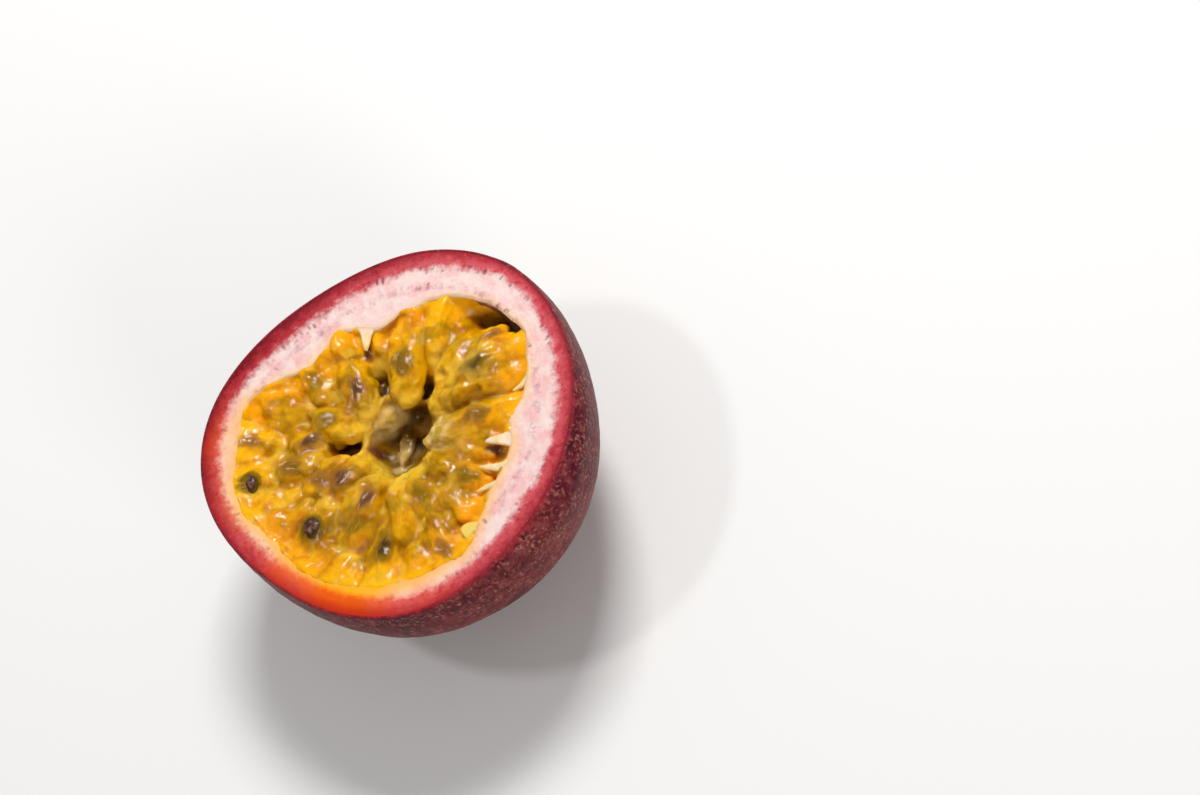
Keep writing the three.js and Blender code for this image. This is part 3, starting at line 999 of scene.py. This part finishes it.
def pulp_material():
    s = Shading("pulp")
    along, tone, seed, violet = map(s.value, ("along", "tone", "seed", "violet"))
    crease, crest, deep, wall = map(s.value, ("crease", "crest", "deep", "wall"))
    grain = s.add("ShaderNodeAttribute", attribute_name="grain").outputs["Vector"]
    stretch = s.vector("MULTIPLY", {0: grain, 1: (0.35, 1, 1)})
    fibres = s.noise(0.7, 4, 0.6, where=stretch)
    cloud = s.noise(2.6, 3, 0.6)

    orange = s.mix(tone, "#ffb800", "#fca400")
    gold = s.mix(tone, "#ecae00", "#d09600")
    # tip is the colour of the paler tips, partly painted glow of light passing through them.
    tip = s.mix(tone, "#fed448", "#eebe28")
    unevenness = s.times(s.centred(cloud), 0.7)
    nearness = s.plus(wall, unevenness)
    s.colour = s.mix(s.ramp(nearness, 0.36, 0.8), orange, gold)
    olive = s.ramp(s.noise(3.4, 3, 0.6), 0.47, 0.64, 0, 0.7)
    olive = s.times(olive, s.ramp(nearness, 0.25, 0.65, 0.15, 1))
    s.paint(olive, "#ac8200")
    amber = s.ramp(s.noise(2.9, 3, 0.6, where=grain), 0.5, 0.7, 0, 0.6)
    amber = s.times(amber, s.ramp(wall, 0.02, 0.35, 0.15, 1))
    s.paint(amber, "#c86c00")
    murky = s.ramp(s.noise(5.5, 2, 0.5), 0.46, 0.62, 0, 0.7)
    s.paint(s.times(murky, s.ramp(wall, 0.2, 0.6)), "#8c6000")
    # The sac tips are painted paler and brighter yellow. This is partly their thinner, paler jelly
    # and partly painted glow of light passing through it.
    s.paint(s.ramp(s.plus(along, unevenness), 0.74, 1.02, 0, 0.75), tip)
    # Painted highlight: the tops of the sacs are painted brighter yellow along their fibres.
    crest_highlight = s.times(s.ramp(crest, 0.6, 1), s.ramp(fibres, 0.45, 0.75))
    s.paint(s.times(crest_highlight, 0.5), "#ffce14")
    ragged = s.plus(seed, s.times(s.centred(fibres), 0.5))
    halo = s.mix(violet, "#886600", "#a47028")
    shade = s.mix(violet, "#3c2a02", "#5c382e")
    s.paint(s.ramp(ragged, 0.08, 0.42, 0, 0.85), halo)
    s.paint(s.ramp(ragged, 0.4, 0.85, 0, 0.92), shade)
    # Painted glints: pale pinkish streaks over the seeds. These are partly pale membrane fibres
    # and partly painted reflections on them.
    glint_streaks = s.noise(0.8, 3, 0.6, 0.4, where=stretch)
    glint_streaks = s.times(s.ramp(glint_streaks, 0.58, 0.66), s.ramp(seed, 0.08, 0.4))
    glint_streaks = s.times(glint_streaks, s.ramp(violet, 0, 1, 0.3, 1))
    tint = s.mix(violet, "#f4d678", "#f4d4be")
    s.paint(s.times(glint_streaks, 0.6), tint)
    # Creases between sacs: painted shade where they turn dark orange-brown, and elsewhere pale
    # membrane lines that are partly painted light glowing through the membranes.
    veil = s.ramp(s.noise(4, 2, 0.5), 0.5, 0.6)
    crease_shade_and_membrane = s.mix(veil, "#a05400", "#f6cc54")
    s.paint(s.times(crease, 0.48), crease_shade_and_membrane)
    # Painted shade: the pulp turns dark brown the deeper it lies below the cut, in the hollow
    # most.
    hollow_shade = s.mix(s.ramp(cloud, 0.4, 0.6), "#582c04", "#402c04")
    s.paint(s.ramp(deep, 0.2, 0.54, 0, 0.85), hollow_shade)
    skinny = s.mix(s.ramp(cloud, 0.36, 0.6), "#ba9a3c", "#eed08c")
    s.paint(s.times(s.value("pale"), 0.85), skinny)
    s.set(Base_Color=s.colour, Roughness=0.35, IOR=1.36, Specular_IOR_Level=0.05)
    s.scatter(s.ramp(wall, 0, 0.2, 0.15, 0.85), (1, 0.55, 0.08), 1.3)
    s.set(Coat_Weight=0.8, Coat_Roughness=0.06, Coat_IOR=1.33)
    low = s.bump(s.noise(1.8, 3, 0.55), 0.3, 0.7)
    s.set(Coat_Normal=s.bump(s.noise(0.6, 2, 0.5), 0.08, 0.6, low))
    s.set(Normal=s.bump(fibres, 0.12, 0.6, low))
    return s.material


def core_material():
    s = Shading("core")
    s.colour = s.mix(s.noise(2.2, 3, 0.6), "#965402", "#cd8a0a")
    s.set(Base_Color=s.colour, Roughness=0.22)
    s.scatter(0.8, (1, 0.5, 0.08), 1.2)
    s.set(Coat_Weight=0.8, Coat_Roughness=0.08)
    s.set(Normal=s.bump(s.noise(0.9, 4, 0.6), 0.2, 0.6))
    return s.material


def seed_material():
    s = Shading("seed")
    # The seed is lighter and pinkish in patches on its top, and darker olive round its sides.
    pink_patches = s.ramp(s.noise(0.8, 4, 0.7), 0.4, 0.62)
    top = s.ramp(s.value("rim"), 0.6, 0.97)
    s.colour = s.mix(s.times(top, pink_patches), "#3a2210", "#80584c")
    s.paint(s.ramp(s.value("rim"), 0.74, 0.5), "#604204")
    s.set(Base_Color=s.colour, Roughness=0.4, Specular_IOR_Level=0.1)
    s.set(Coat_Weight=0.35, Coat_Roughness=0.12, Coat_IOR=1.33)
    s.set(Normal=s.bump(s.noise(0.7, 3, 0.6), 0.25, 0.7))
    return s.material


def floor_material():
    s = Shading("floor")
    s.set(Base_Color="#f3f2f0", Roughness=0.8, Specular_IOR_Level=0.1)
    return s.material


# ---- Studio ----


def make_floor():
    radius, z = np.array(STAGE_RINGS).T[..., None]
    rings = ring_points(radius, full_turn(64), z)
    return Builder().loft(rings, (0, 0, 0), (0, 0, z.min())).build("floor")


def facing(back, upward):
    """Right, up and back as columns, with up as near to upward as it can be."""
    right = Vector(upward).cross(back).normalized()
    return Matrix((right, back.cross(right), back)).transposed()


def view_axes():
    """The camera's right, up and back at AIM_POINT."""
    turn, lift, roll = math.radians(AZIMUTH), math.radians(ELEVATION), math.radians(ROLL)
    flat = math.cos(lift)
    back = Vector((math.sin(turn) * flat, -math.cos(turn) * flat, math.sin(lift)))
    return facing(back, (0, 0, 1)) @ Matrix.Rotation(-roll, 3, "Z")


def ray_axes():
    """The same axes in camera space, with the ray through AIM_PIXEL as their back."""
    x = (AIM_PIXEL[0] - FRAME_PIXELS[0] / 2) / FOCAL_PIXELS
    y = (FRAME_PIXELS[1] / 2 - AIM_PIXEL[1]) / FOCAL_PIXELS
    return facing(-Vector((x, y, -1)).normalized(), (0, 1, 0))


def make_camera():
    data = bpy.data.cameras.new("camera")
    data.sensor_width = SENSOR_MM
    data.lens = FOCAL_PIXELS / FRAME_PIXELS[0] * SENSOR_MM
    data.clip_start = 0.01
    camera = link("camera", data)
    axes = view_axes()
    place = AIM_POINT + axes.col[2] * DISTANCE
    camera.matrix_world = Matrix.Translation(place) @ (axes @ ray_axes().transposed()).to_4x4()
    bpy.context.scene.camera = camera
    return axes


def add_softbox(name, axes):
    direction, distance, size, watts = SOFTBOXES[name]
    toward = axes @ Vector(direction)
    data = bpy.data.lights.new(name, "AREA")
    data.shape = "RECTANGLE"
    data.size, data.size_y = size
    data.energy = watts
    lamp = link(name, data)
    lamp.location = AIM_POINT + toward.normalized() * distance
    lamp.rotation_mode = "QUATERNION"
    lamp.rotation_quaternion = (-toward).to_track_quat("-Z", "Y")


def light_studio(axes):
    world = bpy.data.worlds.new("studio")
    world.use_nodes = True
    sky = world.node_tree.nodes["Background"]
    sky.inputs["Color"].default_value = (1, 1, 1, 1)
    sky.inputs["Strength"].default_value = SKY_STRENGTH
    bpy.context.scene.world = world
    for name in SOFTBOXES:
        add_softbox(name, axes)
    bpy.context.scene.view_settings.view_transform = "Standard"


# ---- The scene ----

axes = make_camera()
light_studio(axes)
floor = make_floor()
floor.data.materials.append(floor_material())

arils = plan_arils()
pulp = make_pulp(arils)
pieces = [
    (make_skin(), skin_material(), "rind", "skin"),
    (make_flesh(), flesh_material(), "rind", "pith"),
    (make_pegs(), peg_material(), "rind", "pith"),
    (make_core(), core_material(), "pulp", "pulp"),
    (pulp, pulp_material(), "pulp", "pulp"),
    (make_seeds(pulp), seed_material(), "pulp", "seed"),
]
for piece, material, node, slot in pieces:
    piece.data.materials.append(material)
    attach(piece, "root")
    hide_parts(node)
